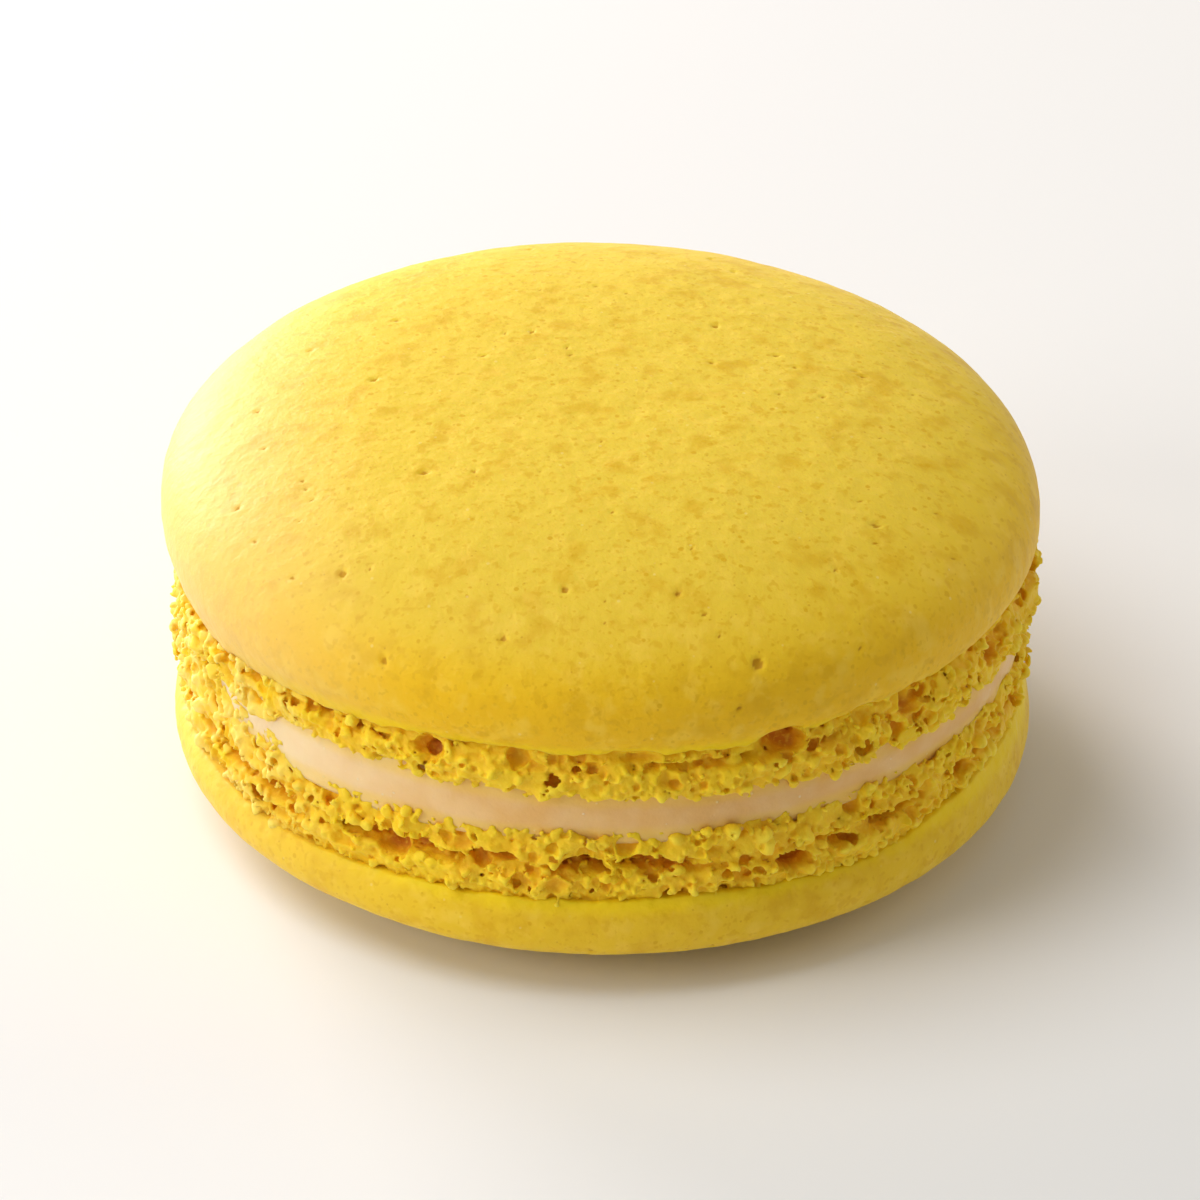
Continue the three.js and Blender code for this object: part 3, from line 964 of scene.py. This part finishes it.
def skin_material(colours, lower, upper):
    """Smooth baked skin: mottled lemon yellow, with pores, freckles and a clear yellow edge, and painted
    light and shade: a paler crown, a deeper wall and a whitish highlight at the left.
    """
    material, graph, place = new_material("baked_skin")
    x, y, z = graph.axes(place)
    edges = [CapForm(sizes).skin_edge / MM for sizes in (lower, upper)]
    # Painted light: the upper cap's top is paler, for the light that falls on it from above.
    base = graph.mix(graph.ease(z, *CROWN_PAINTED_LIGHT_HEIGHTS), colours.lemon, colours.crown)
    # Painted shade: the upper cap's wall is a deeper yellow, for the shade it lies in.
    from_wall_shade = graph.maths("ABSOLUTE", z - (edges[1] + WALL_SHADE_ABOVE_EDGE))
    base = graph.mix(graph.ease(from_wall_shade, *WALL_SHADE_FADE) * WALL_SHADE_STRENGTH, base, colours.wall)
    noises = {}
    shares = {}
    for name, (size, detail, tones, strength, tint) in SKIN_MOTTLING.items():
        noises[name] = graph.noise(place, size, detail)
        shares[name] = graph.ease(noises[name], *tones)
        base = graph.mix(shares[name] * strength, base, getattr(colours, tint))
    fine = noises["fine"]

    dot, dot_tone, _ = graph.cells(place, 0.8)
    dots = graph.ease(dot + fine * 0.35 - dot_tone * 0.12, 0.27, 0.19) * graph.ease(dot_tone, 0.4, 0.7)
    base = graph.mix(dots * 0.8, base, colours.gold)
    base = graph.mix(graph.specks(place, *SKIN_PITS) * 0.5, base, colours.pore)
    base = graph.mix(graph.specks(place, *SKIN_SUGARS) * 0.25, base, colours.sugar)

    # Painted highlight: the skin turns whitish towards the left, most on its upper parts, for the bright
    # light there.
    painted_highlight = graph.ease(x + y * PAINTED_HIGHLIGHT_SKIN_LEAN, *PAINTED_HIGHLIGHT_SKIN_X)
    painted_highlight = painted_highlight * (graph.ease(z, *PAINTED_HIGHLIGHT_SKIN_HEIGHTS) * 0.5 + 0.2)
    base = graph.mix(painted_highlight, base, colours.painted_highlight)
    for edge in edges:
        near = graph.ease(graph.maths("ABSOLUTE", z - edge) + fine * 0.5, *EDGE_FADE)
        base = graph.mix(near * graph.ease(x, *EDGE_FADE_X) * 0.8, base, colours.edge)
    for spot in FRECKLES:
        distance = graph.vector_maths("DISTANCE", place, spot, output="Value") + fine * 0.3
        base = graph.mix(graph.ease(distance, *FRECKLE_FADE) * 0.5, base, colours.freckle)
    pore = graph.node("ShaderNodeAttribute", {"attribute_name": "pore"}, output="Fac")
    base = graph.mix(graph.ease(pore, 0.3, 0.8) * 0.8, base, colours.pore)

    pebbles = graph.noise(place, 0.8, 1.0)
    grain = graph.noise(place, 0.2, 2.0)
    height = pebbles * 0.06 + fine * 0.045 + grain * 0.025 - shares["fleck"] * 0.015
    finish_shader(graph, base, 0.5 + noises["blotch"] * 0.12, height, 0.8, SKIN_SHINE)
    return material


def crumb_material(colours):
    """Open baked crumb, with painted light and shade: pale at its tips, golden to orange down in its hollows,
    and a painted highlight at the left.
    """
    material, graph, place = new_material("baked_crumb")
    crevice = graph.node("ShaderNodeAttribute", {"attribute_name": "crevice"}, output="Fac")
    patch = graph.noise(place, 1.2, 2.0) - 0.5
    depth = crevice + patch * 0.35
    # Painted light and shade: paler at the tips, and deeper golden to dark orange down the hollows and slits,
    # by how deep each point lies.
    stops = [
        (0.0, colours.crumb_pale_and_tip_highlight),
        (0.22, colours.crumb),
        (0.5, colours.crumb_painted_shade),
        (0.82, colours.crumb_deeper_painted_shade),
        (1.0, colours.crumb_darkest_painted_shade),
    ]
    base = graph.node("ShaderNodeValToRGB", {"stops": stops}, {0: depth})
    x = graph.axes(place)[0]
    # Painted highlight: the crumb's tips turn whitish towards the left, for the bright light there.
    painted_highlight = graph.ease(x, *PAINTED_HIGHLIGHT_CRUMB_X) * graph.ease(depth, 0.5, 0.1) * 0.7
    base = graph.mix(painted_highlight, base, colours.crumb_painted_highlight)
    base = graph.mix(graph.ease(graph.noise(place, 2.4, 1.0), 0.5, 0.68) * 0.6, base, colours.crumb_bright)
    fine = graph.noise(place, 0.25, 2.0)
    base = graph.mix(graph.ease(fine, 0.52, 0.75) * 0.4, base, colours.crumb_pale_and_tip_highlight)
    finish_shader(graph, base, 0.55 + fine * 0.1, fine * 0.06, 0.8, CRUMB_SHINE)
    return material


def cream_material(colours, lower, upper):
    """Soft butter cream: pale peach with a faint sparkle of painted glints, a painted highlight at the left,
    and yellower by the crumb.
    """
    material, graph, place = new_material("butter_cream")
    blotch = graph.noise(place, 2.2, 2.0)
    fine = graph.noise(place, 0.3, 2.0)
    base = graph.mix(graph.ease(blotch, 0.35, 0.7), colours.cream, colours.cream_pale)
    sparkles = graph.specks(place, *CREAM_SPARKLES)
    x, _, z = graph.axes(place)
    # Painted highlight: the cream turns paler towards the left, for the bright light there.
    base = graph.mix(graph.ease(x, *PAINTED_HIGHLIGHT_CREAM_X) * 0.6, base, colours.cream_painted_highlight)
    # Painted glints: tiny pale specks that stand in for the sparkle of light on the cream.
    base = graph.mix(sparkles * 0.5, base, colours.cream_painted_highlight)
    for sizes in (lower, upper):
        border = sizes.inner / MM + tilt_rise(sizes.inner_tilt, x)
        near = graph.ease(graph.maths("ABSOLUTE", z - border) + blotch * 0.3, 0.9, 0.3)
        base = graph.mix(near * 0.35, base, colours.crumb)
    height = fine * 0.05 + blotch * 0.05 + sparkles * 0.03
    finish_shader(graph, base, 0.32 + fine * 0.2, height, 0.6, SOFT_SHINE)
    return material


# The stage

CAMERA_ELEVATION = 32
CAMERA_DISTANCE = 300 * MM
CAMERA_ROLL = 0.8
CAMERA_TARGET = Vector((0, 0, 9.7 * MM))
FRAME_WIDTH = 64 * MM
SENSOR_WIDTH = 36
CLIP_START = 10 * MM
FLOOR_SIZE = 3.0
FLOOR_DROP = 0.01 * MM
FLOOR_TONE = 0.86
FLOOR_ROUGHNESS = 0.9
WORLD_STRENGTH = 0.27

# The lights: azimuth and elevation in degrees, distance and size in metres, power in watts, and tint.
LIGHTS = {
    "key": (-66, 23, 0.45, 0.22, 0.62, (1, 0.96, 0.9)),
    "window": (-145, 10, 0.5, 0.26, 2.9, (1, 0.91, 0.86)),
    "above": (-90, 62, 0.5, 0.4, 1.42, (1, 1, 1)),
    "right": (112, 22, 0.6, 0.3, 0.6, (1, 0.86, 0.55)),
    "fill": (-5, 12, 0.6, 0.4, 0.16, (1, 0.82, 0.45)),
}


def direction_from(azimuth, elevation):
    """A unit vector away from the object: azimuth 0 is the front, and more is towards +X."""
    turn, rise = math.radians(azimuth), math.radians(elevation)
    return Vector((math.sin(turn) * math.cos(rise), -math.cos(turn) * math.cos(rise), math.sin(rise)))


def add_camera():
    data = bpy.data.cameras.new("camera")
    data.sensor_width = SENSOR_WIDTH
    data.lens = SENSOR_WIDTH * CAMERA_DISTANCE / FRAME_WIDTH
    data.clip_start = CLIP_START
    camera = new_object("camera", data)
    back = direction_from(0, CAMERA_ELEVATION)
    level_right = Vector((1, 0, 0))
    level_up = back.cross(level_right)
    roll = math.radians(CAMERA_ROLL)
    right = math.cos(roll) * level_right + math.sin(roll) * level_up
    up = back.cross(right)
    turned = Matrix((right, up, back)).transposed().to_4x4()
    camera.matrix_world = Matrix.Translation(CAMERA_TARGET + back * CAMERA_DISTANCE) @ turned
    bpy.context.scene.camera = camera


def add_light(name, azimuth, elevation, distance, size, power, tint):
    data = bpy.data.lights.new(name, "AREA")
    data.shape = "DISK"
    data.size = size
    data.energy = power
    data.color = tint
    light = new_object(name, data)
    away = direction_from(azimuth, elevation)
    turned = away.to_track_quat("Z", "Y").to_matrix().to_4x4()
    light.matrix_world = Matrix.Translation(CAMERA_TARGET + away * distance) @ turned


def add_floor():
    bm = bmesh.new()
    bmesh.ops.create_grid(bm, x_segments=2, y_segments=2, size=FLOOR_SIZE / 2)
    bmesh.ops.translate(bm, verts=bm.verts, vec=(0, 0, -FLOOR_DROP))
    mesh = mesh_from(bm, "floor")
    material, graph, _ = new_material("pale_floor")
    tone = (FLOOR_TONE, FLOOR_TONE, FLOOR_TONE, 1)
    shader = graph.node("ShaderNodeBsdfPrincipled", inputs={"Base Color": tone, "Roughness": FLOOR_ROUGHNESS})
    graph.node("ShaderNodeOutputMaterial", inputs={"Surface": shader})
    mesh.materials.append(material)
    floor = new_object("floor", mesh)


def add_world():
    world = bpy.data.worlds.new("studio")
    world.use_nodes = True
    background = world.node_tree.nodes["Background"]
    background.inputs["Color"].default_value = (1, 1, 1, 1)
    background.inputs["Strength"].default_value = WORLD_STRENGTH
    bpy.context.scene.world = world


# The operators


class MACARON_OT_caps(bpy.types.Operator):
    """Makes the smooth caps of both shells"""

    bl_idname = "macaron.caps"
    bl_label = "Caps"

    def execute(self, context):
        lower, upper = macaron_sizes(context)
        skin = skin_material(context.scene.macaron_colours, lower, upper)
        for name, sizes, pores, node in (
            ("lower_cap", lower, [], "lower_shell"),
            ("upper_cap", upper, UPPER_PORES, "upper_shell"),
        ):
            mesh = cap_mesh(name, sizes, pores)
            mesh.materials.append(skin)
            new_piece(name, mesh, [node])
        return {"FINISHED"}


class MACARON_OT_feet(bpy.types.Operator):
    """Makes the crumbly feet of both shells"""

    bl_idname = "macaron.feet"
    bl_label = "Feet"

    def execute(self, context):
        lower, upper = macaron_sizes(context)
        crumb = crumb_material(context.scene.macaron_colours)
        for name, sizes, hollows, node in (
            ("lower_foot", lower, LOWER_HOLLOWS, "lower_shell"),
            ("upper_foot", upper, UPPER_HOLLOWS, "upper_shell"),
        ):
            for side, arc in FOOT_ARCS.items():
                mesh = foot_mesh(f"{name}_{side}", sizes, hollows_all_round(hollows, sizes.seed), arc)
                mesh.materials.clear()
                mesh.materials.append(crumb)
                new_piece(f"{name}_{side}", mesh, [node])
        return {"FINISHED"}


class MACARON_OT_cream(bpy.types.Operator):
    """Makes the layer of cream between the shells"""

    bl_idname = "macaron.cream"
    bl_label = "Cream"

    def execute(self, context):
        lower, upper = macaron_sizes(context)
        mesh = cream_mesh("cream", context.scene.macaron_cream, lower, upper)
        mesh.materials.append(cream_material(context.scene.macaron_colours, lower, upper))
        new_piece("cream", mesh, ["cream_filling"])
        return {"FINISHED"}


class MACARON_OT_stage(bpy.types.Operator):
    """Sets up the camera, the pale floor and the soft light"""

    bl_idname = "macaron.stage"
    bl_label = "Stage"

    def execute(self, context):
        context.scene.view_settings.view_transform = "Standard"
        add_camera()
        add_floor()
        add_world()
        for name, light in LIGHTS.items():
            add_light(name, *light)
        return {"FINISHED"}


class MACARON_PT_pieces(bpy.types.Panel):
    """Lists the macaron's pieces and their sizes"""

    bl_idname = "MACARON_PT_pieces"
    bl_label = "Filled macaron"
    bl_space_type = "VIEW_3D"
    bl_region_type = "UI"
    bl_category = "Macaron"

    def draw(self, context):
        for operator in OPERATORS:
            self.layout.operator(operator.bl_idname)
        for label, group in (
            ("Lower shell", context.scene.macaron_lower),
            ("Upper shell", context.scene.macaron_upper),
            ("Cream", context.scene.macaron_cream),
            ("Colours", context.scene.macaron_colours),
        ):
            self.layout.label(text=label)
            for name in group.__annotations__:
                self.layout.prop(group, name)


OPERATORS = (MACARON_OT_caps, MACARON_OT_feet, MACARON_OT_cream, MACARON_OT_stage)
GROUPS = {
    "macaron_lower": LowerShellSizes,
    "macaron_upper": UpperShellSizes,
    "macaron_cream": CreamSizes,
    "macaron_colours": FinishColours,
}


def register():
    for group in GROUPS.values():
        bpy.utils.register_class(group)
    for operator in OPERATORS:
        bpy.utils.register_class(operator)
    bpy.utils.register_class(MACARON_PT_pieces)
    for name, group in GROUPS.items():
        setattr(bpy.types.Scene, name, PointerProperty(type=group))


def unregister():
    for name in GROUPS:
        delattr(bpy.types.Scene, name)
    bpy.utils.unregister_class(MACARON_PT_pieces)
    for operator in reversed(OPERATORS):
        bpy.utils.unregister_class(operator)
    for group in reversed(GROUPS.values()):
        bpy.utils.unregister_class(group)


def main():
    register()
    bpy.ops.macaron.caps()
    bpy.ops.macaron.feet()
    bpy.ops.macaron.cream()
    bpy.ops.macaron.stage()
    bpy.context.view_layer.update()


if __name__ == "__main__":
    main()
